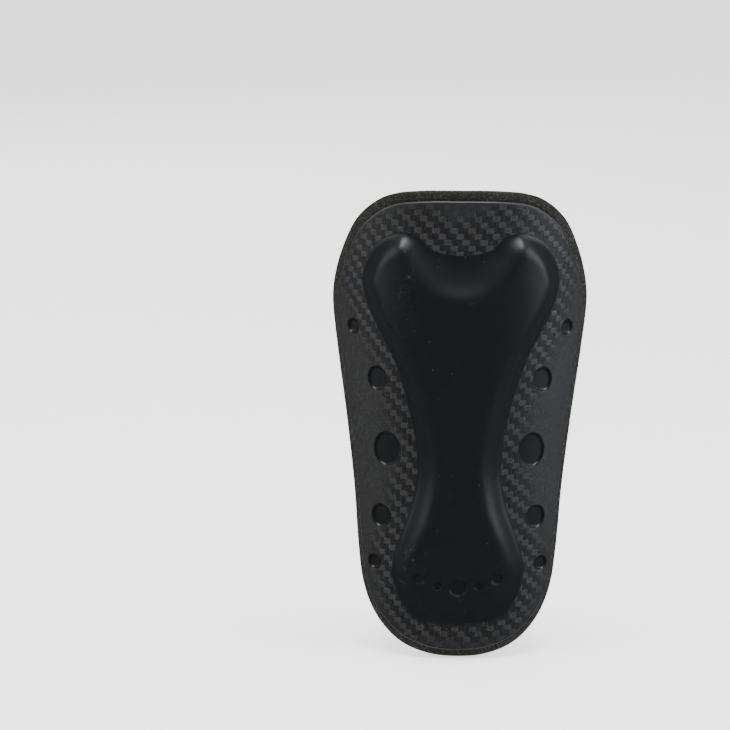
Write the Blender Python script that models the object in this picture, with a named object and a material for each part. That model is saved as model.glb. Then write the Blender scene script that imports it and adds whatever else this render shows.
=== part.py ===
"""Slip-in shin guard for ball sports, upright as it is worn.

The row frame is metres, +Z up the shin and -Y out of the shin, with the origin on the middle of the
face that touches the shin. Every layer is drawn flat, as the sheet that it is cut or moulded from:
u runs across the sheet, v runs up it and h is the height above the face that the shell is glued on.
bend() then wraps the flat sheet round the shin, so all layers stay parallel to each other.
"""
import math

import bmesh
import bpy
from mathutils import Vector
from mathutils.geometry import delaunay_2d_cdt, interpolate_bezier

# Driving dimensions, in metres.
GUARD_LENGTH = 0.205  # foam, top edge to bottom edge
GUARD_WIDTH = 0.1328  # foam laid flat, at its widest
SHIN_RADIUS = 0.052  # of the glued face, at half height
SHIN_TAPER = 0.04  # radius gained for each metre up the shin
SHIN_LAND = 0.005  # half width of the flat land down the middle
WING_RADIUS = 0.120  # of the side wings, which are flatter than the middle
WING_START = math.radians(42)  # turn from the middle at which a wing starts
BOW_RADIUS = 1.5  # both ends fall back towards the leg on this radius
BOW_START = 0.035  # height above and below the middle where the bow starts

SHELL_WALL = 0.0018
SHELL_EDGE_RADIUS = 0.0007
FILM_THICKNESS = 0.0003
FOAM_THICKNESS = 0.0045
LINING_THICKNESS = 0.0007
LAYER_GAP = 0.0003  # between one layer and the next

FOAM_LIP_SIDE = 0.0065  # foam that shows beyond the shell at its sides
FOAM_LIP_END = 0.0038  # and at its top and bottom
FILM_MARGIN = 0.0020  # the glue film stops short of the shell's edge
LINING_MARGIN = 0.0004  # the lining stops short of the foam's edge

RIDGE_RISE = 0.0042  # height of the raised bone above the flange, at its shoulders
RIDGE_TOE_RISE = 0.0026  # and at its bottom end
RIDGE_CROWN = 0.0025  # how much higher the bone is along its middle
RIDGE_FLANK = 0.0085  # width of the flank that climbs from the flange
NOTCH_FLANK = 0.0150  # the same in the scooped notch at the top
TOE_FLANK = 0.0120  # the same at the bottom end

DIMPLE_DEPTH = 0.0011
DIMPLE_DRAFT = 0.0003  # a dimple's floor is this much smaller in radius
LARGE_DIMPLE = 0.0150  # diameters
MEDIUM_DIMPLE = 0.0104
SMALL_DIMPLE = 0.0062
TOE_CENTRE_DIMPLE = 0.0075
TOE_PIN_DIMPLE = 0.0036
TOE_END_DIMPLE = 0.0047

SHELL_CELL = 0.0046  # mesh size of the shell
LAYER_CELL = 0.0060  # mesh size of the plain layers, round the shin
LAYER_STEP = 0.0120  # and up the shin, where they are nearly straight

# Right half of the foam's outline, top to bottom: shares of half the width and half the length.
SHEET_OUTLINE = [
    (0.000, 1.000), (0.300, 0.995), (0.520, 0.968), (0.735, 0.875), (0.860, 0.765), (0.965, 0.620),
    (1.000, 0.500), (0.955, 0.310), (0.858, 0.000), (0.785, -0.290), (0.745, -0.550), (0.700, -0.710),
    (0.603, -0.830), (0.420, -0.935), (0.220, -0.985), (0.000, -1.000),
]
# Right half of the raised bone, in the same shares: notch, horn, head, neck, waist and toe.
RIDGE_OUTLINE = [
    (0.000, 0.737), (0.196, 0.771), (0.354, 0.822), (0.512, 0.783), (0.633, 0.693), (0.667, 0.600),
    (0.602, 0.483), (0.422, 0.283), (0.301, 0.029), (0.265, -0.166), (0.301, -0.327), (0.384, -0.488),
    (0.428, -0.595), (0.400, -0.712), (0.286, -0.803), (0.136, -0.829), (0.000, -0.833),
]
# Places of the dimples on the right half, in the same shares, each with its diameter.
FLANGE_DIMPLES = [
    (0.747, 0.406, SMALL_DIMPLE),
    (0.546, 0.200, MEDIUM_DIMPLE),
    (0.473, -0.098, LARGE_DIMPLE),
    (0.511, -0.392, MEDIUM_DIMPLE),
    (0.560, -0.600, SMALL_DIMPLE),
]
TOE_DIMPLES = [
    (0.239, -0.639, TOE_END_DIMPLE),
    (0.130, -0.668, TOE_PIN_DIMPLE),
]
TOE_CENTRE = (0.000, -0.676, TOE_CENTRE_DIMPLE)

# Heights of the layers, h, worked out from the shell's glued face at 0.
FILM_TOP = -LAYER_GAP
FILM_BOTTOM = FILM_TOP - FILM_THICKNESS
FOAM_TOP = FILM_BOTTOM - LAYER_GAP
FOAM_BOTTOM = FOAM_TOP - FOAM_THICKNESS
LINING_TOP = FOAM_BOTTOM - LAYER_GAP
SKIN_FACE = LINING_TOP - LINING_THICKNESS


# The bend from the flat sheet to the worn shape.

def bend(u, v, h):
    """World position of the flat sheet's point (u, v) at height h above the glued face."""
    radius = SHIN_RADIUS + SHIN_TAPER * v
    along = max(abs(u) - SHIN_LAND, 0.0)
    middle_arc = radius * WING_START
    if along < middle_arc:
        turn = along / radius
        across = radius * math.sin(turn)
        back = radius * (1 - math.cos(turn))
    else:
        turn = WING_START + (along - middle_arc) / WING_RADIUS
        across = radius * math.sin(WING_START) + WING_RADIUS * (math.sin(turn) - math.sin(WING_START))
        back = radius * (1 - math.cos(WING_START)) + WING_RADIUS * (math.cos(WING_START) - math.cos(turn))
    side = math.copysign(1.0, u)
    across = side * (min(abs(u), SHIN_LAND) + across)

    past = max(abs(v) - BOW_START, 0.0)
    lean = math.copysign(past / BOW_RADIUS, v)
    up = math.copysign(min(abs(v), BOW_START), v) + BOW_RADIUS * math.sin(lean)
    back += BOW_RADIUS * (1 - math.cos(lean))

    out = Vector((side * math.sin(turn), -math.cos(turn) * math.cos(lean), math.cos(turn) * math.sin(lean)))
    return Vector((across, back + SKIN_FACE, up)) + out * h


# Outlines on the flat sheet.

def scaled(points, half_width, half_length):
    return [(u * half_width, v * half_length) for u, v in points]


def smooth_loop(half, spacing):
    """Closed, evenly spaced loop through the right half of an outline and its mirror image."""
    ring = [Vector(p) for p in half] + [Vector((-u, v)) for u, v in reversed(half[1:-1])]
    curve = []
    for i, start in enumerate(ring):
        end = ring[(i + 1) % len(ring)]
        after = ring[(i + 2) % len(ring)]
        reach = (end - start).length / 3
        leave = (end - ring[i - 1]).normalized() * reach
        arrive = (after - start).normalized() * reach
        curve += interpolate_bezier(start, start + leave, end - arrive, end, 16)[:-1]
    travelled = [0.0]
    for a, b in zip(curve, curve[1:] + curve[:1]):
        travelled.append(travelled[-1] + (b - a).length)
    count = 2 * round(travelled[-1] / spacing / 2)
    loop = []
    i = 0
    for k in range(count):
        target = travelled[-1] * k / count
        while travelled[i + 1] < target:
            i += 1
        share = (target - travelled[i]) / (travelled[i + 1] - travelled[i])
        loop.append(curve[i].lerp(curve[(i + 1) % len(curve)], share))
    return loop


def inset(loop, distance):
    """The loop moved inwards; it runs clockwise, so inwards is on its right."""
    moved = []
    for i, point in enumerate(loop):
        along = (loop[(i + 1) % len(loop)] - loop[i - 1]).normalized()
        moved.append(point + Vector((along.y, -along.x)) * distance)
    return moved


def circle(u, v, radius, spacing):
    count = max(10, round(2 * math.pi * radius / spacing))
    turns = [2 * math.pi * k / count for k in range(count)]
    return [Vector((u + radius * math.cos(a), v + radius * math.sin(a))) for a in turns]


def inside(loop, point):
    """Is the point inside the closed loop?"""
    crossings = False
    for a, b in zip(loop, loop[1:] + loop[:1]):
        if (a.y > point.y) != (b.y > point.y):
            crossings ^= point.x < a.x + (point.y - a.y) / (b.y - a.y) * (b.x - a.x)
    return crossings


def distance_to(loop, point):
    nearest = math.inf
    for a, b in zip(loop, loop[1:] + loop[:1]):
        side = b - a
        share = min(max((point - a).dot(side) / side.length_squared, 0.0), 1.0)
        nearest = min(nearest, (point - a - side * share).length)
    return nearest


HALF_WIDTH = GUARD_WIDTH / 2
HALF_LENGTH = GUARD_LENGTH / 2


def sheet_loop(side_margin, end_margin, spacing):
    """The foam's outline made smaller at its sides and its ends."""
    return smooth_loop(scaled(SHEET_OUTLINE, HALF_WIDTH - side_margin, HALF_LENGTH - end_margin), spacing)


RIDGE_LOOP = smooth_loop(scaled(RIDGE_OUTLINE, HALF_WIDTH, HALF_LENGTH), SHELL_CELL)


# Heights of the shell.

def smooth_step(low, high, value):
    share = min(max((value - low) / (high - low), 0.0), 1.0)
    return share * share * (3 - 2 * share)


def ridge_height(u, v):
    """Height of the raised bone above the flange: 0 outside its outline."""
    point = Vector((u, v))
    if not inside(RIDGE_LOOP, point):
        return 0.0
    notch = math.exp(-(u / (0.18 * HALF_WIDTH)) ** 2) * smooth_step(0.50, 0.70, v / HALF_LENGTH)
    toe = smooth_step(0.58, 0.75, -v / HALF_LENGTH)
    flank = RIDGE_FLANK + (NOTCH_FLANK - RIDGE_FLANK) * notch + (TOE_FLANK - RIDGE_FLANK) * toe
    sink = 1 - min(distance_to(RIDGE_LOOP, point) / flank, 1.0)
    climb = 1 - sink ** 3 * (1 + 3 * (1 - sink))
    low_end = smooth_step(0.35, 0.80, -v / HALF_LENGTH)
    rise = RIDGE_RISE + (RIDGE_TOE_RISE - RIDGE_RISE) * low_end
    crown = RIDGE_CROWN * (1 - low_end) * (1 - (u / (0.667 * HALF_WIDTH)) ** 2)
    return climb * (rise + crown)


def dimples():
    """Centre, radius of every dimple in the shell, both halves."""
    places = [(u * HALF_WIDTH, v * HALF_LENGTH, d / 2) for u, v, d in FLANGE_DIMPLES + TOE_DIMPLES]
    u, v, d = TOE_CENTRE
    return places + [(-u, v, r) for u, v, r in places] + [(u * HALF_WIDTH, v * HALF_LENGTH, d / 2)]


# Meshes.

def flat_mesh(loops, cell, step, hole=None):
    """Flat triangle sheet inside the first loop, with the others as edges in it, on a grid of cells."""
    points = [p for loop in loops for p in loop]
    edges = []
    start = 0
    for loop in loops:
        edges += [(start + i, start + (i + 1) % len(loop)) for i in range(len(loop))]
        start += len(loop)
    columns = math.ceil(max(p.x for p in points) / cell)
    rows = math.ceil(max(p.y for p in points) / step)
    for i in range(-columns, columns + 1):
        u = math.copysign(SHIN_LAND + (abs(i) - 1) * cell, i) if i else 0.0
        for j in range(-rows, rows + 1):
            point = Vector((u, j * step))
            if inside(loops[0], point) and min(distance_to(loop, point) for loop in loops) > cell * 0.45:
                points.append(point)
    corners, _, faces, *_ = delaunay_2d_cdt(points, edges, [], 0, 1e-7)

    sheet = bmesh.new()
    verts = [sheet.verts.new((p.x, p.y, 0)) for p in corners]
    for face in faces:
        middle = sum((corners[i] for i in face), Vector((0, 0))) / 3
        if inside(loops[0], middle) and not (hole and inside(hole, middle)):
            sheet.faces.new([verts[i] for i in face])
    bmesh.ops.delete(sheet, geom=[v for v in sheet.verts if not v.link_faces], context="VERTS")
    return sheet


def layer(name, sheet, top, bottom, material):
    """A closed piece between two heights, each a function of u and v, bent round the shin."""
    bmesh.ops.recalc_face_normals(sheet, faces=sheet.faces)
    if sheet.faces[0].normal.z < 0:
        bmesh.ops.reverse_faces(sheet, faces=sheet.faces)
    upper = list(sheet.faces)
    made = bmesh.ops.extrude_face_region(sheet, geom=upper, use_keep_orig=True)
    lower = {v for v in made["geom"] if isinstance(v, bmesh.types.BMVert)}
    for vert in sheet.verts:
        u, v, _ = vert.co
        vert.co = bend(u, v, bottom(u, v) if vert in lower else top(u, v))
    bmesh.ops.recalc_face_normals(sheet, faces=sheet.faces)
    mesh = bpy.data.meshes.new(name)
    sheet.to_mesh(mesh)
    sheet.free()
    mesh.shade_smooth()
    mesh.set_sharp_from_angle(angle=math.radians(40))
    mesh.materials.append(material)
    piece = bpy.data.objects.new(name, mesh)
    bpy.context.scene.collection.objects.link(piece)
    return piece


def level(height):
    return lambda u, v: height


def material(name, colour, roughness, metallic=0.0):
    made = bpy.data.materials.new(name)
    made.use_nodes = True
    surface = made.node_tree.nodes["Principled BSDF"]
    surface.inputs["Base Color"].default_value = (*colour, 1.0)
    surface.inputs["Roughness"].default_value = roughness
    surface.inputs["Metallic"].default_value = metallic
    return made


# Pieces.

def make_shell():
    """One polypropylene moulding: the flange, the hollow bone raised from it and the blind dimples."""
    edge = sheet_loop(FOAM_LIP_SIDE, FOAM_LIP_END, SHELL_CELL)
    ridge_steps = [inset(RIDGE_LOOP, share * RIDGE_FLANK) for share in (0.3, 0.65)]
    rims = [circle(u, v, r, SHELL_CELL / 2) for u, v, r in dimples()]
    floors = [circle(u, v, r - DIMPLE_DRAFT, SHELL_CELL / 2) for u, v, r in dimples()]
    loops = [edge, inset(edge, SHELL_EDGE_RADIUS), RIDGE_LOOP, *ridge_steps, *rims, *floors]
    on_edge = {(round(p.x, 6), round(p.y, 6)) for p in edge}

    def top(u, v):
        height = SHELL_WALL + ridge_height(u, v)
        if (round(u, 6), round(v, 6)) in on_edge:
            height -= SHELL_EDGE_RADIUS
        in_dimple = any(math.hypot(u - du, v - dv) < r - DIMPLE_DRAFT / 2 for du, dv, r in dimples())
        return height - DIMPLE_DEPTH if in_dimple else height

    plastic = material("black_polypropylene", (0.028, 0.028, 0.031), 0.38)
    return layer("shell", flat_mesh(loops, SHELL_CELL, SHELL_CELL), top, ridge_height, plastic)


def make_adhesive_film():
    """Double-sided film under the flange; it is cut out below the bone, which is hollow."""
    edge = sheet_loop(FOAM_LIP_SIDE + FILM_MARGIN, FOAM_LIP_END + FILM_MARGIN, LAYER_CELL)
    window = smooth_loop(scaled(RIDGE_OUTLINE, HALF_WIDTH, HALF_LENGTH), LAYER_CELL)
    glue = material("clear_adhesive", (0.18, 0.17, 0.15), 0.45)
    sheet = flat_mesh([edge, window], LAYER_CELL, LAYER_STEP, hole=window)
    return layer("adhesive_film", sheet, level(FILM_TOP), level(FILM_BOTTOM), glue)


def make_foam_backing():
    """Die-cut EVA foam that shows as a lip all round the shell."""
    foam = material("charcoal_eva_foam", (0.030, 0.030, 0.028), 0.9)
    sheet = flat_mesh([sheet_loop(0, 0, LAYER_CELL)], LAYER_CELL, LAYER_STEP)
    return layer("foam_backing", sheet, level(FOAM_TOP), level(FOAM_BOTTOM), foam)


def make_lining():
    """Knitted polyester that is laminated to the foam and lies on the sock."""
    knit = material("black_knit", (0.022, 0.022, 0.024), 0.95)
    edge = sheet_loop(LINING_MARGIN, LINING_MARGIN, LAYER_CELL)
    sheet = flat_mesh([edge], LAYER_CELL, LAYER_STEP)
    return layer("lining", sheet, level(LINING_TOP), level(SKIN_FACE), knit)


def main():
    for item in list(bpy.data.objects):
        bpy.data.objects.remove(item, do_unlink=True)
    make_shell()
    make_adhesive_film()
    make_foam_backing()
    make_lining()


main()
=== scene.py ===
import math

import bmesh
import bpy
from mathutils import Matrix, Vector
from mathutils.geometry import interpolate_bezier
from mathutils.kdtree import KDTree


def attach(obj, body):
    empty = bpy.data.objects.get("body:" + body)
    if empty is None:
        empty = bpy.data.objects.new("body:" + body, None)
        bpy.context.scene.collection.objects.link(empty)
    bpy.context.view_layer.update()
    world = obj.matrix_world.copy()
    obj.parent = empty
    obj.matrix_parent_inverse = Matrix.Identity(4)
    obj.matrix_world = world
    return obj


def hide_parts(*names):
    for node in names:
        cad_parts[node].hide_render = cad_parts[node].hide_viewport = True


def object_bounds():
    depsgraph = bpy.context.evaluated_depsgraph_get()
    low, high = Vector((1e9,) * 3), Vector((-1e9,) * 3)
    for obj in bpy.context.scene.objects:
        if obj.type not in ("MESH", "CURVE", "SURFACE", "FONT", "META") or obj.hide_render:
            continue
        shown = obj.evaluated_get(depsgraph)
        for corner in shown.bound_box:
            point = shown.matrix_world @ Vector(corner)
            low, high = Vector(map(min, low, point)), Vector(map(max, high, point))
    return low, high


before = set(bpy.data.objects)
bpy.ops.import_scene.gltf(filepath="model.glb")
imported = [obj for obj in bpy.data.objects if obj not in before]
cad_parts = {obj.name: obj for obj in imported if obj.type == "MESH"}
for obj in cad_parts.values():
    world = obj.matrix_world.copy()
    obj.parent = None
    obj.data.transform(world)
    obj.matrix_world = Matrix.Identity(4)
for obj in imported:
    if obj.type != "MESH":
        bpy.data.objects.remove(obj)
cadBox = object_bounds()


# The guard's flat pattern: u runs across it, v up it, h is the height above the face that is glued.
# Points of an outline are shares of half the width and half the length, right half only, from the top.
guard = {
    "width": 0.1328,
    "length": 0.205,
    "shinRadius": 0.052,
    "shinTaper": 0.04,
    "shinLand": 0.005,
    "wingRadius": 0.120,
    "wingStart": math.radians(42),
    "bowRadius": 1.5,
    "bowStart": 0.035,
    "layerGap": 0.0003,
    "filmThickness": 0.0003,
    "foamThickness": 0.0045,
    "liningThickness": 0.0007,
    "loopStep": 0.0004,  # spacing of the points of the outline
    "outline": [
        (0.000, 1.000), (0.300, 0.995), (0.520, 0.968), (0.735, 0.875), (0.860, 0.765), (0.965, 0.620),
        (1.000, 0.500), (0.955, 0.310), (0.858, 0.000), (0.785, -0.290), (0.745, -0.550),
        (0.700, -0.710), (0.603, -0.830), (0.420, -0.935), (0.220, -0.985), (0.000, -1.000),
    ],
    "shoulders": [(0.735, 0.875), (0.603, -0.830)],  # the outline's points where a mesh has its corners
}

halfWidth = guard["width"] / 2
halfLength = guard["length"] / 2
foamTop = -2 * guard["layerGap"] - guard["filmThickness"]
foamBottom = foamTop - guard["foamThickness"]
liningTop = foamBottom - guard["layerGap"]
skinFace = liningTop - guard["liningThickness"]


def bend(u, v, h):
    # world place of a point of the flat pattern
    radius = guard["shinRadius"] + guard["shinTaper"] * v
    start = guard["wingStart"]
    wing = guard["wingRadius"]
    along = max(abs(u) - guard["shinLand"], 0)
    if along < radius * start:
        turn = along / radius
        across = radius * math.sin(turn)
        back = radius * (1 - math.cos(turn))
    else:
        turn = start + (along - radius * start) / wing
        across = radius * math.sin(start) + wing * (math.sin(turn) - math.sin(start))
        back = radius * (1 - math.cos(start)) + wing * (math.cos(start) - math.cos(turn))
    side = math.copysign(1, u)
    across = side * (min(abs(u), guard["shinLand"]) + across)
    bow = guard["bowRadius"]
    lean = math.copysign(max(abs(v) - guard["bowStart"], 0) / bow, v)
    up = math.copysign(min(abs(v), guard["bowStart"]), v) + bow * math.sin(lean)
    back += bow * (1 - math.cos(lean)) + skinFace
    facing = math.cos(turn)
    out = Vector((side * math.sin(turn), -facing * math.cos(lean), facing * math.sin(lean)))
    return Vector((across, back, up)) + out * h


def scaled(points, halfU, halfV):
    return [(u * halfU, v * halfV) for u, v in points]


def smoothLoop(half, spacing):
    # closed, evenly spaced loop through the right half of an outline and its mirror image, clockwise
    ring = [Vector(p) for p in half] + [Vector((-u, v)) for u, v in reversed(half[1:-1])]
    curve = []
    for i, start in enumerate(ring):
        end = ring[(i + 1) % len(ring)]
        after = ring[(i + 2) % len(ring)]
        reach = (end - start).length / 3
        leave = (end - ring[i - 1]).normalized() * reach
        arrive = (after - start).normalized() * reach
        curve += interpolate_bezier(start, start + leave, end - arrive, end, 24)[:-1]
    travelled = [0]
    for a, b in zip(curve, curve[1:] + curve[:1]):
        travelled.append(travelled[-1] + (b - a).length)
    count = 2 * round(travelled[-1] / spacing / 2)
    loop = []
    i = 0
    for k in range(count):
        target = travelled[-1] * k / count
        while travelled[i + 1] < target:
            i += 1
        share = (target - travelled[i]) / (travelled[i + 1] - travelled[i])
        loop.append(curve[i].lerp(curve[(i + 1) % len(curve)], share))
    return loop


def depthInside(loop):
    # gives a function that tells how far inside the loop a point lies; it is negative outside
    tree = KDTree(len(loop))
    for i, point in enumerate(loop):
        tree.insert((point.x, point.y, 0), i)
    tree.balance()

    def depth(u, v):
        point = Vector((u, v))
        i = tree.find((u, v, 0))[1]
        nearest = math.inf
        for a, b in ((loop[i - 1], loop[i]), (loop[i], loop[(i + 1) % len(loop)])):
            side = b - a
            share = min(max((point - a).dot(side) / side.length_squared, 0), 1)
            gap = point - a - side * share
            if gap.length < abs(nearest):
                nearest = -math.copysign(gap.length, side.x * gap.y - side.y * gap.x)
        return nearest

    return depth


def flatSheet(sideMargin, endMargin, cell, rimRings):
    # grid of even cells laid into the guard's outline, with narrow rings round its rim
    halfU, halfV = halfWidth - sideMargin, halfLength - endMargin
    loop = smoothLoop(scaled(guard["outline"], halfU, halfV), guard["loopStep"])
    upper, lower = [
        min(range(len(loop) // 2), key=lambda i: (loop[i] - Vector(p)).length)
        for p in scaled(guard["shoulders"], halfU, halfV)
    ]
    count = len(loop)
    sides = {
        "right": loop[upper:lower + 1],
        "bottom": loop[lower:count - lower + 1],
        "left": loop[count - lower:count - upper + 1],
        "top": loop[count - upper:] + loop[:upper + 1],
    }

    def along(side, share):
        points = sides[side]
        place = share * (len(points) - 1)
        i = min(int(place), len(points) - 2)
        return points[i].lerp(points[i + 1], place - i)

    sheet = bmesh.new()
    columns = round((len(sides["top"]) + len(sides["bottom"])) * guard["loopStep"] * 0.58 / cell)
    rows = round(len(sides["right"]) * guard["loopStep"] / cell)
    bmesh.ops.create_grid(sheet, x_segments=columns, y_segments=rows, size=1)
    for vert in sheet.verts:
        s, t = (vert.co.x + 1) / 2, (vert.co.y + 1) / 2
        upDown = along("bottom", 1 - s) * (1 - t) + along("top", s) * t
        leftRight = along("left", t) * (1 - s) + along("right", 1 - t) * s
        low = along("bottom", 1) * (1 - s) + along("bottom", 0) * s
        high = along("top", 0) * (1 - s) + along("top", 1) * s
        place = upDown + leftRight - low * (1 - t) - high * t
        vert.co = (place.x, place.y, 0)
    inner = list(sheet.faces)
    for width in rimRings:
        bmesh.ops.inset_region(sheet, faces=inner, thickness=width, use_boundary=True, use_even_offset=False)
    bmesh.ops.recalc_face_normals(sheet, faces=sheet.faces)
    return sheet, depthInside(loop)


def placed(name, shape):
    # turns the shape into an object in the scene
    mesh = bpy.data.meshes.new(name)
    shape.to_mesh(mesh)
    shape.free()
    made = bpy.data.objects.new(name, mesh)
    bpy.context.scene.collection.objects.link(made)
    return made


def wrapSheet(name, sheet, top, bottom, depths, node):
    # gives the flat sheet its thickness, writes its flat places as a UV map, and bends it round the shin
    flatMap = sheet.loops.layers.uv.new("flatMap")  # new layers come first: they make old references void
    layers = {label: sheet.verts.layers.float.new(label) for label in depths}
    if sum(face.normal.z for face in sheet.faces) < 0:
        bmesh.ops.reverse_faces(sheet, faces=sheet.faces)
    made = bmesh.ops.extrude_face_region(sheet, geom=list(sheet.faces), use_keep_orig=True)
    lower = {v for v in made["geom"] if isinstance(v, bmesh.types.BMVert)}
    for face in sheet.faces:
        for corner in face.loops:
            corner[flatMap].uv = corner.vert.co.xy
    for vert in sheet.verts:
        u, v, _ = vert.co
        for label, depth in depths.items():
            vert[layers[label]] = depth(u, v)
        vert.co = bend(u, v, bottom(u, v) if vert in lower else top(u, v))
    bmesh.ops.recalc_face_normals(sheet, faces=sheet.faces)
    piece = placed(name, sheet)
    piece.data.shade_smooth()
    piece.data.set_sharp_from_angle(angle=math.radians(75))
    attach(piece, "root")
    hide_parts(node)
    return piece


def smoothStep(low, high, value):
    share = min(max((value - low) / (high - low), 0), 1)
    return share * share * (3 - 2 * share)


def rounded(radius, depth):
    # how far a rounded rim has dropped at this depth inside it
    short = radius - min(max(depth, 0), radius)
    return radius - math.sqrt(radius * radius - short * short)


shellValues = {
    "sideMargin": 0.0065,  # foam left showing beyond the plastic
    "endMargin": 0.0038,
    "wall": 0.0018,
    "rimRadius": 0.0007,
    "rimRings": [0.00008, 0.00014, 0.00020, 0.00028],
    "cell": 0.00105,
    "boneOutline": [
        (0.000, 0.737), (0.185, 0.760), (0.265, 0.808), (0.365, 0.829), (0.480, 0.806), (0.575, 0.757),
        (0.642, 0.682), (0.667, 0.600),
        (0.602, 0.483), (0.422, 0.283), (0.301, 0.029), (0.265, -0.166), (0.301, -0.327),
        (0.384, -0.488), (0.428, -0.595), (0.400, -0.712), (0.286, -0.803), (0.136, -0.829),
        (0.000, -0.833),
    ],
    "boneRise": 0.0042,
    "toeRise": 0.0026,
    "crown": 0.0025,
    "flank": 0.0110,
    "notchFlank": 0.0330,
    "hornFlank": 0.0086,
    "notchWidth": 0.22,  # shares of half the width: the notch, the horns and where they stand
    "hornWidth": 0.13,
    "hornPlace": 0.37,
    "headWidth": 0.667,
    "toeFlank": 0.0150,
    "dimpleDepth": 0.0011,
    "dimpleDraft": 0.00025,
    "dimpleFillet": 0.00055,
    "dimpleLip": 0.00028,
    "dimpleRoll": 0.0006,  # soft edge outside each dimple
    "dimpleRings": [0.00015, 0.00015, 0.00015, 0.00015, 0.00012, 0.00013, 0.00014, 0.00014, 0.00015, 0.0002],
    # place as shares, height, width as a share of the height; each also stands on the left half
    "dimples": [
        (0.747, 0.406, 0.0062, 1.00), (0.546, 0.200, 0.0102, 0.88), (0.473, -0.098, 0.0146, 0.82),
        (0.511, -0.392, 0.0100, 0.90), (0.560, -0.600, 0.0062, 1.00), (0.239, -0.639, 0.0047, 1.00),
        (0.130, -0.668, 0.0036, 1.00),
    ],
    "centreDimple": (0.000, -0.676, 0.0075, 1.00),
}

boneDepth = depthInside(smoothLoop(scaled(shellValues["boneOutline"], halfWidth, halfLength), 0.0006))


def boneHeight(u, v):
    # height of the raised bone above the flange
    depth = boneDepth(u, v)
    if depth <= 0:
        return 0
    s = shellValues
    notch = math.exp(-(u / (s["notchWidth"] * halfWidth)) ** 2) * smoothStep(0.45, 0.68, v / halfLength)
    horn = math.exp(-((abs(u) / halfWidth - s["hornPlace"]) / s["hornWidth"]) ** 2) * smoothStep(0.55, 0.70, v / halfLength)
    toe = smoothStep(0.58, 0.75, -v / halfLength)
    flank = s["flank"] + (s["notchFlank"] - s["flank"]) * notch + (s["toeFlank"] - s["flank"]) * toe
    flank += (s["hornFlank"] - s["flank"]) * horn
    sink = 1 - min(depth / flank, 1)
    climb = (1 - sink ** 2) ** 1.7
    lowEnd = smoothStep(0.35, 0.80, -v / halfLength)
    rise = s["boneRise"] + (s["toeRise"] - s["boneRise"]) * lowEnd
    crown = s["crown"] * (1 - lowEnd) * (1 - (u / (s["headWidth"] * halfWidth)) ** 2)
    return climb * (rise + crown)


def dimplePlaces():
    places = [(u * halfWidth, v * halfLength, d / 2, w) for u, v, d, w in shellValues["dimples"]]
    u, v, d, w = shellValues["centreDimple"]
    return places + [(-u, v, r, w) for u, v, r, w in places] + [(u, v * halfLength, d / 2, w)]


dimpleList = dimplePlaces()


def dimpleDepth(u, v):
    # how far inside the nearest dimple's rim a point lies; it is negative outside
    return max(r - math.hypot((u - x) / w, v - y) for x, y, r, w in dimpleList)


def dimpleDrop(depth):
    # depth of the dimple's surface: a soft lip, a steep wall, a small fillet and a flat floor
    s = shellValues
    lip = s["dimpleLip"]
    if depth <= 0:
        return lip * max(1 + depth / s["dimpleRoll"], 0) ** 2
    fillet = s["dimpleFillet"]
    if depth < s["dimpleDraft"]:
        return lip + (s["dimpleDepth"] - lip - fillet * 0.6) * depth / s["dimpleDraft"]
    return s["dimpleDepth"] - fillet * 0.6 * max(1 - (depth - s["dimpleDraft"]) / fillet, 0) ** 2


def cutDimple(sheet, u, v, radius, width):
    # cuts a round or oval floor out of the cells, rings it, and gives the floor even cells again
    centre = Vector((u, v, 0))
    oval = Matrix.Diagonal((width, 1, 1))
    outer = radius + shellValues["dimpleRoll"]
    count = max(20, 2 * round(math.pi * outer / 0.0011))
    inner = [f for f in sheet.faces if min((c.co - centre).length for c in f.verts) < outer]
    for k in range(count):
        turn = 2 * math.pi * (k + 0.5) / count
        away = Vector((math.cos(turn), math.sin(turn), 0))
        edge = centre + oval @ away * outer
        away = (oval.inverted() @ away).normalized()
        inner = cutFaces(sheet, inner, edge, away)
        inner = [f for f in inner if (f.calc_center_median() - edge).dot(away) < 0]
    floor = bmesh.ops.dissolve_faces(sheet, faces=inner, use_verts=False)["region"][0]
    reach = outer
    for step in (0, *shellValues["dimpleRings"]):
        if step:
            bmesh.ops.inset_individual(sheet, faces=[floor], thickness=step, use_even_offset=False)
        reach -= step
        for corner in floor.verts:
            corner.co = centre + oval @ (oval.inverted() @ (corner.co - centre)).normalized() * reach
    inner = [floor]
    for axis in (Vector((1, 0, 0)), Vector((0, 1, 0))):
        steps = round(reach * 2 / 0.0012)
        for k in range(1, steps):
            inner = cutFaces(sheet, inner, centre + axis * reach * (2 * k / steps - 1), axis)


def cutFaces(sheet, faces, place, across):
    edges = {e for f in faces for e in f.edges}
    verts = {c for f in faces for c in f.verts}
    made = bmesh.ops.bisect_plane(
        sheet, geom=[*verts, *edges, *faces], dist=0.00002, plane_co=place, plane_no=across
    )
    return [g for g in made["geom"] if isinstance(g, bmesh.types.BMFace)]


def makeShell():
    s = shellValues
    sheet, rimDepth = flatSheet(s["sideMargin"], s["endMargin"], s["cell"], s["rimRings"])
    for place in dimpleList:
        cutDimple(sheet, *place)

    def top(u, v):
        drop = max(rounded(s["rimRadius"], rimDepth(u, v)), dimpleDrop(dimpleDepth(u, v)))
        return s["wall"] + boneHeight(u, v) - drop

    depths = {"rimDepth": rimDepth, "boneDepth": boneDepth, "dimpleDepth": dimpleDepth}
    return wrapSheet("shell_moulding", sheet, top, boneHeight, depths, "shell")


foamValues = {"rimRadius": 0.0005, "rimRings": [0.0001, 0.0002, 0.0002], "cell": 0.0018}


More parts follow.
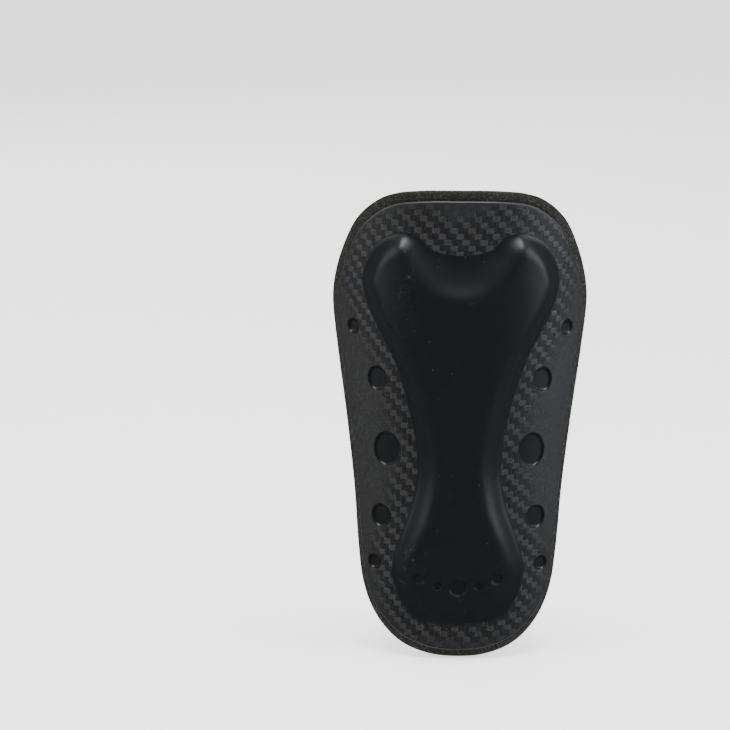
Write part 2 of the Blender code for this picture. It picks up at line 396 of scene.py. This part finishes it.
def makeFoam():
    f = foamValues
    sheet, rimDepth = flatSheet(0, 0, f["cell"], f["rimRings"])

    def top(u, v):
        return foamTop - rounded(f["rimRadius"], rimDepth(u, v))

    def bottom(u, v):
        return foamBottom

    piece = wrapSheet("foam_pad", sheet, top, bottom, {"rimDepth": rimDepth}, "foam_backing")
    return piece


liningValues = {"margin": 0.0004, "rimRings": [0.0002, 0.0003], "cell": 0.0018, "area": 0.0193}


def makeLining():
    s = liningValues
    sheet, rimDepth = flatSheet(s["margin"], s["margin"], s["cell"], s["rimRings"])

    def top(u, v):
        return liningTop

    def bottom(u, v):
        return skinFace + rounded(guard["liningThickness"] * 0.6, rimDepth(u, v) + 0.0001)

    piece = wrapSheet("skin_lining", sheet, top, bottom, {"rimDepth": rimDepth}, "lining")
    return piece


class Value:
    # an output of a material's node; arithmetic on it adds Math nodes
    def __init__(self, surface, socket):
        self.surface = surface
        self.socket = socket

    def maths(self, operation, *numbers):
        return self.surface.node("Math", {"operation": operation}, dict(enumerate(numbers)))

    def __add__(self, other):
        return self.maths("ADD", self, other)

    def __radd__(self, other):
        return self.maths("ADD", other, self)

    def __sub__(self, other):
        return self.maths("SUBTRACT", self, other)

    def __rsub__(self, other):
        return self.maths("SUBTRACT", other, self)

    def __mul__(self, other):
        return self.maths("MULTIPLY", self, other)

    def __rmul__(self, other):
        return self.maths("MULTIPLY", other, self)

    def __truediv__(self, other):
        return self.maths("DIVIDE", self, other)

    def __pow__(self, other):
        return self.maths("POWER", self, other)

    def __lt__(self, other):
        return self.maths("LESS_THAN", self, other)

    def __gt__(self, other):
        return self.maths("GREATER_THAN", self, other)

    def __abs__(self):
        return self.maths("ABSOLUTE", self)

    def __floor__(self):
        return self.maths("FLOOR", self)

    def fraction(self):
        return self.maths("FRACT", self)

    def wave(self):
        return self.maths("SINE", self)

    def higher(self, other):
        return self.maths("MAXIMUM", self, other)

    def ramp(self, low, high):
        # 0 below low, 1 above high, smooth between
        return self.surface.node(
            "MapRange",
            {"interpolation_type": "SMOOTHSTEP"},
            {"Value": self, "From Min": low, "From Max": high},
        )


class Surface:
    # a material and the one way its nodes are made
    def __init__(self, name, **constants):
        self.material = bpy.data.materials.new(name)
        self.material.use_nodes = True
        self.tree = self.material.node_tree
        self.shader = self.tree.nodes["Principled BSDF"]
        for socket, value in constants.items():
            self.shader.inputs[socket.replace("_", " ")].default_value = value

    def node(self, kind, settings, inputs, output=0):
        made = self.tree.nodes.new("ShaderNode" + kind)
        for name, value in settings.items():
            setattr(made, name, value)
        for name, value in inputs.items():
            self.put(made.inputs[name], value)
        return Value(self, made.outputs[output])

    def put(self, socket, value):
        if isinstance(value, Value):
            self.tree.links.new(value.socket, socket)
        else:
            socket.default_value = value

    def mix(self, share, first, second):
        return self.node("Mix", {"data_type": "RGBA"}, {0: share, 6: first, 7: second}, 2)

    def attribute(self, name):
        return self.node("Attribute", {"attribute_name": name}, {}, "Fac")

    def flatPlace(self):
        # u and v of the flat pattern, in millimetres
        place = self.node("UVMap", {"uv_map": "flatMap"}, {})
        u = self.node("SeparateXYZ", {}, {0: place}, "X") * 1000
        v = self.node("SeparateXYZ", {}, {0: place}, "Y") * 1000
        return u, v

    def objectPlace(self):
        return self.node("TexCoord", {}, {}, "Object")

    def noise(self, place, scale, detail=2.0, roughness=0.5, stretch=None):
        if stretch:
            place = self.node("Mapping", {}, {"Vector": place, "Scale": stretch})
        return self.node(
            "TexNoise", {}, {"Vector": place, "Scale": scale, "Detail": detail, "Roughness": roughness}
        )

    def bump(self, height, strength, distance, normal=None):
        inputs = {"Height": height, "Strength": strength, "Distance": distance}
        if normal:
            inputs["Normal"] = normal
        return self.node("Bump", {}, inputs)

    def finish(self, **links):
        for socket, value in links.items():
            self.put(self.shader.inputs[socket.replace("_", " ")], value)
        return self.material


def grey(value, blue=0.0):
    return (value * (1 - blue * 0.5), value, value * (1 + blue), 1)


plasticLook = {
    "towPitch": 2.5,  # millimetres between the embossed weave's yarns
    "floatShare": 0.43,
    "boneColour": grey(0.0038, 0.38),
    "flangeDark": grey(0.0050, 0.10),
    # flangeLight is the painted sheen tone of the weave's floats, lighter than the risers of the same plastic
    "flangeLight": grey(0.023, 0.07),
    "flangePale": grey(0.038, 0.06),
    "boneRoughness": 0.32,
    "flangeRoughness": 0.42,
    "floatRoughness": 0.34,
    "paintedRimHighlight": grey(0.034, 0.05),
    "paintedDimpleShade": grey(0.004),
    "dustColour": grey(0.10),
}


def shellMaterial():
    # gloss black bone and dimple floors, and a flange embossed with a twill weave whose floats carry a
    # painted sheen; a painted highlight along the rim and painted shade on the dimple walls
    p = plasticLook
    s = Surface("shellPlastic", Specular_IOR_Level=0.42, IOR=1.5)
    u, v = s.flatPlace()
    place = s.objectPlace()
    bone = s.attribute("boneDepth") * 1000
    dimple = s.attribute("dimpleDepth") * 1000
    rim = s.attribute("rimDepth") * 1000

    # twill: each row of floats stands one yarn further right than the row above it
    across = u / p["towPitch"]
    down = v / -p["towPitch"]
    row = math.floor(down)
    phase = ((across - row) / 3).fraction()
    isFloat = phase < p["floatShare"]
    floatCrown = 1 - abs(down.fraction() * 2 - 1) ** 7
    floatEnds = 1 - abs(phase * (2 / p["floatShare"]) - 1) ** 9
    riserCrown = 1 - abs(across.fraction() * 2 - 1) ** 4
    floatHeight = floatCrown * floatEnds
    fibres = ((down * 41).wave() * isFloat + (across * 41).wave() * (1 - isFloat)) * 0.06
    weave = isFloat * floatHeight + (1 - isFloat) * riserCrown * 0.6 + fibres
    blend = 0.4 + (0 - v).ramp(76, 84) * 3.5  # the toe melts into the weave
    onFlange = ((0.25 - bone) / blend).ramp(0, 1) * (-0.40 - dimple).ramp(0, 0.15)
    onFlange = onFlange * (rim - 0.75).ramp(0, 0.3)
    # the weave, both its relief and its painted float sheen, is strongest next to the bone and fades with a
    # noisy distance from it
    patch = s.noise(place, 45, 1, 0.5) * 9 - (v - 60).ramp(0, 15) * (1 - abs(u / 45)) * 6
    nearBone = 1 - (0 - bone + patch).ramp(8, 22) * 0.75
    twill = onFlange * nearBone

    grain = s.noise(place, 1500, 2, 0.7)
    cloud = s.noise(place, 28, 2, 0.5)
    dust = s.node("TexVoronoi", {}, {"Vector": place, "Scale": 260}, "Distance") < 0.055
    dust = dust * s.noise(place, 70, 2, 0.5).ramp(0.44, 0.54)
    hair = abs(s.noise(place, 110, 0, 0.5, (1, 1, 2.2)) - 0.5) < 0.003
    hair = hair * s.noise(place, 60, 1, 0.5).ramp(0.60, 0.64) * (bone > 3) * (dimple < -0.8) * 0.3
    wear = dust.higher(hair)

    # painted sheen: the floats are painted lighter than the risers, standing in for the light their tilt
    # catches; the relief of the weave itself is real
    light = isFloat * floatHeight.ramp(0.05, 0.5) * twill
    # away from the bone the painted float sheen fades out and the flange takes an even, lighter tone instead
    plain = 0.60 * onFlange * (1 - nearBone)
    flange = s.mix((light * (0.7 + cloud * 0.5)).higher(plain), p["flangeDark"], p["flangeLight"])
    flange = s.mix((grain - 0.5).ramp(0, 0.2) * 0.45, flange, p["flangePale"])
    flange = s.mix((0.5 - grain).ramp(0, 0.2) * 0.6, flange, p["flangeDark"])
    colour = s.mix(onFlange, p["boneColour"], flange)
    # painted highlight: a lighter band along the shell's rounded rim
    colour = s.mix((0.9 - rim).ramp(0, 0.5), colour, p["paintedRimHighlight"])
    # painted shade: each dimple's wall and fillet are darkened
    colour = s.mix((dimple + 0.2).ramp(0, 0.1) * (0.8 - dimple).ramp(0, 0.25), colour, p["paintedDimpleShade"])
    colour = s.mix(wear * 0.8, colour, p["dustColour"])
    roughness = p["boneRoughness"] + onFlange * (p["flangeRoughness"] - p["boneRoughness"])
    roughness = roughness - light * (p["flangeRoughness"] - p["floatRoughness"])
    roughness = roughness + cloud * 0.05 + wear * 0.25

    normal = s.bump(weave * twill, 0.55, 0.00022)
    normal = s.bump(grain * (0.12 + onFlange), 0.3, 0.00008, normal)
    normal = s.bump(s.noise(place, 90, 2, 0.5), 0.05, 0.0003, normal)
    return s.finish(Base_Color=colour, Roughness=roughness, Normal=normal)


foamLook = {
    "skin": (0.018, 0.018, 0.0158, 1),
    "cut": (0.005, 0.005, 0.0044, 1),
    "pale": (0.095, 0.093, 0.081, 1),
}


def foamMaterial():
    # closed-cell foam: fine open cells on its cut faces
    s = Surface("foamSheet", Specular_IOR_Level=0.25)
    place = s.objectPlace()
    cells = s.node("TexVoronoi", {}, {"Vector": place, "Scale": 1700, "Randomness": 1.0}, "Distance")
    fine = s.noise(place, 1500, 2, 0.75)
    patch = s.noise(place, 160, 3, 0.55)
    colour = s.mix(cells.ramp(0.15, 0.75), foamLook["cut"], foamLook["skin"])
    colour = s.mix((fine - 0.5).ramp(0.02, 0.22) * 0.75, colour, foamLook["pale"])
    colour = s.mix(patch.ramp(0.35, 0.75) * 0.35, colour, foamLook["cut"])
    normal = s.bump(cells + fine * 0.8, 0.55, 0.00018)
    normal = s.bump(patch, 0.15, 0.0006, normal)
    return s.finish(Base_Color=colour, Roughness=0.82 + fine * 0.12, Normal=normal)


liningLook = {
    "loop": (0.028, 0.028, 0.030, 1),
    "gap": (0.005, 0.005, 0.006, 1),
    "lint": (0.08, 0.08, 0.084, 1),
}


def liningMaterial():
    # fine rib knit: columns of loops that lean left and right in turn
    s = Surface("liningKnit", Specular_IOR_Level=0.2, Sheen_Weight=0.25, Sheen_Roughness=0.5)
    u, v = s.flatPlace()
    place = s.objectPlace()
    wale = u / 1.5
    side = abs(wale.fraction() * 2 - 1)
    course = (v / 1.15 + side * 0.55).fraction()
    stitch = (1 - abs(course * 2 - 1) ** 2) * (1 - abs(side * 2 - 1) ** 3)
    fuzz = s.noise(place, 3200, 3, 0.7)
    patch = s.noise(place, 35, 2, 0.5)
    colour = s.mix(stitch.ramp(0.05, 0.6), liningLook["gap"], liningLook["loop"])
    colour = s.mix((fuzz - 0.5).ramp(0.05, 0.3) * (0.4 + patch * 0.5), colour, liningLook["lint"])
    normal = s.bump(stitch, 0.8, 0.0004)
    normal = s.bump(fuzz, 0.3, 0.0001, normal)
    return s.finish(Base_Color=colour, Roughness=0.8 + fuzz * 0.15, Normal=normal)


filmLook = {"smoke": (0.010, 0.010, 0.011, 1), "streak": (0.024, 0.023, 0.021, 1)}


def adhesiveMaterial():
    # smoky glue film, seen only as a line at the foam's lip
    s = Surface("glueFilm", Specular_IOR_Level=0.5)
    place = s.objectPlace()
    streak = s.noise(place, 260, 3, 0.6, (1, 1, 0.3))
    colour = s.mix(streak, filmLook["smoke"], filmLook["streak"])
    return s.finish(Base_Color=colour, Roughness=0.3 + streak * 0.25, Normal=s.bump(streak, 0.2, 0.0001))


studio = {
    # camera: metres away, degrees up, round and rolled, and lens in millimetres
    "distance": 1.3,
    "elevation": 14,
    "yaw": 1.34,
    "roll": 0.77,
    "lens": 149.9,
    "aside": (94.66, 64.53, 3039),  # how far right of and below the middle the guard's centre stands
    "floorColour": (0.95, 0.95, 0.95, 1),
    "world": 0.17,
    "floorGlow": 1.3,
    "backdropGlow": 1.9,
    "floorGap": 0.0004,  # between the guard's lowest point and the floor
    "floorReach": 7.5,
    "backdropRadius": 7,
    "backdropHeight": 10,
    "fill": {"power": 1.9, "spread": 130, "from": (0.05, -0.15, 1.0)},  # wide and even, for the paper
    "overhead": {"power": 22, "size": (0.95, 0.42), "place": (0.0, -0.20, 1.28)},
    "leftBox": {"power": 5, "size": (0.8, 1.3), "place": (-1.15, -0.30, 0.45)},
    "backBox": {"power": 7, "size": (1.2, 0.9), "place": (-0.5, 1.3, 0.7)},
    "rightBox": {"power": 9.5, "size": (0.8, 1.3), "place": (1.15, -0.30, 0.45)},
}


def addCamera():
    s = studio
    target = Vector((0, skinFace, 0))
    elevation, yaw = math.radians(s["elevation"]), math.radians(s["yaw"])
    level = math.cos(elevation)
    toCamera = Vector((-math.sin(yaw) * level, -math.cos(yaw) * level, math.sin(elevation)))
    right, below, focal = s["aside"]
    turn = toCamera.to_track_quat("Z", "Y") @ Matrix.Rotation(math.radians(s["roll"]), 3, "Z").to_quaternion()
    turn = turn @ Vector((right, -below, -focal)).rotation_difference(Vector((0, 0, -1)))
    camera = bpy.data.objects.new("camera", bpy.data.cameras.new("camera"))
    camera.data.lens = s["lens"]
    camera.data.clip_end = 50
    camera.location = target + toCamera * s["distance"]
    camera.rotation_mode = "QUATERNION"
    camera.rotation_quaternion = turn
    bpy.context.scene.collection.objects.link(camera)
    bpy.context.scene.camera = camera


def addSoftbox(name, colour):
    s = studio[name]
    light = bpy.data.lights.new(name, "AREA")
    light.shape = "RECTANGLE"
    light.energy = s["power"]
    light.size, light.size_y = s["size"]
    light.color = colour
    lamp = bpy.data.objects.new(name, light)
    lamp.location = s["place"]
    lamp.rotation_euler = (Vector(s["place"]) * -1).to_track_quat("-Z", "Y").to_euler()
    bpy.context.scene.collection.objects.link(lamp)


def addStudio():
    lowest = cadBox[0][2] - studio["floorGap"]
    floor = bmesh.new()
    bmesh.ops.create_grid(floor, x_segments=1, y_segments=1, size=studio["floorReach"])
    bmesh.ops.translate(floor, verts=floor.verts, vec=(0, 0, lowest))
    ground = placed("floor", floor)
    ground.visible_glossy = False
    glow = studio["floorGlow"]
    s = Surface("floorPaper", Roughness=0.9, Specular_IOR_Level=0.1, Emission_Strength=glow)
    tone = s.noise(s.objectPlace(), 3, 2, 0.5)
    paper = s.mix(tone * 0.04, studio["floorColour"], grey(0.88))
    ground.data.materials.append(s.finish(Base_Color=paper, Emission_Color=paper))
    wall = bmesh.new()
    radius = studio["backdropRadius"]
    bmesh.ops.create_cone(wall, segments=64, radius1=radius, radius2=radius, depth=studio["backdropHeight"])
    backdrop = placed("backdrop", wall)
    backdrop.visible_glossy = backdrop.visible_diffuse = backdrop.visible_shadow = False
    glow = studio["backdropGlow"]
    s = Surface("backdropPaper", Roughness=1.0, Specular_IOR_Level=0.0, Emission_Strength=glow)
    tone = s.noise(s.objectPlace(), 0.5, 1, 0.5)
    paper = s.mix(tone * 0.03, studio["floorColour"], grey(0.88))
    backdrop.data.materials.append(s.finish(Base_Color=paper, Emission_Color=paper))
    fill = bpy.data.lights.new("fill", "SUN")
    fill.energy = studio["fill"]["power"]
    fill.angle = math.radians(studio["fill"]["spread"])
    wide = bpy.data.objects.new("fill", fill)
    wide.rotation_euler = Vector(studio["fill"]["from"]).to_track_quat("Z", "Y").to_euler()
    wide.visible_glossy = False
    bpy.context.scene.collection.objects.link(wide)
    addSoftbox("overhead", (1, 1, 1))
    addSoftbox("leftBox", (1, 0.985, 0.96))
    addSoftbox("rightBox", (0.95, 0.975, 1))
    addSoftbox("backBox", (1, 1, 1))
    world = bpy.data.worlds.new("studio")
    world.use_nodes = True
    background = world.node_tree.nodes["Background"]
    background.inputs["Color"].default_value = (1, 1, 1, 1)
    background.inputs["Strength"].default_value = studio["world"]
    bpy.context.scene.world = world


addCamera()
print("camera placed")
shell = makeShell()
print("shell moulding:", len(shell.data.polygons), "faces")
foam = makeFoam()
lining = makeLining()
print("foam and lining:", len(foam.data.polygons), len(lining.data.polygons), "faces")
for piece, material in ((shell, shellMaterial()), (foam, foamMaterial()), (lining, liningMaterial())):
    piece.data.materials.append(material)
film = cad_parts["adhesive_film"]
glue = adhesiveMaterial()
for place in film.material_slots:
    place.link = "OBJECT"
    place.material = glue
print("materials made")
addStudio()
print("studio lit")
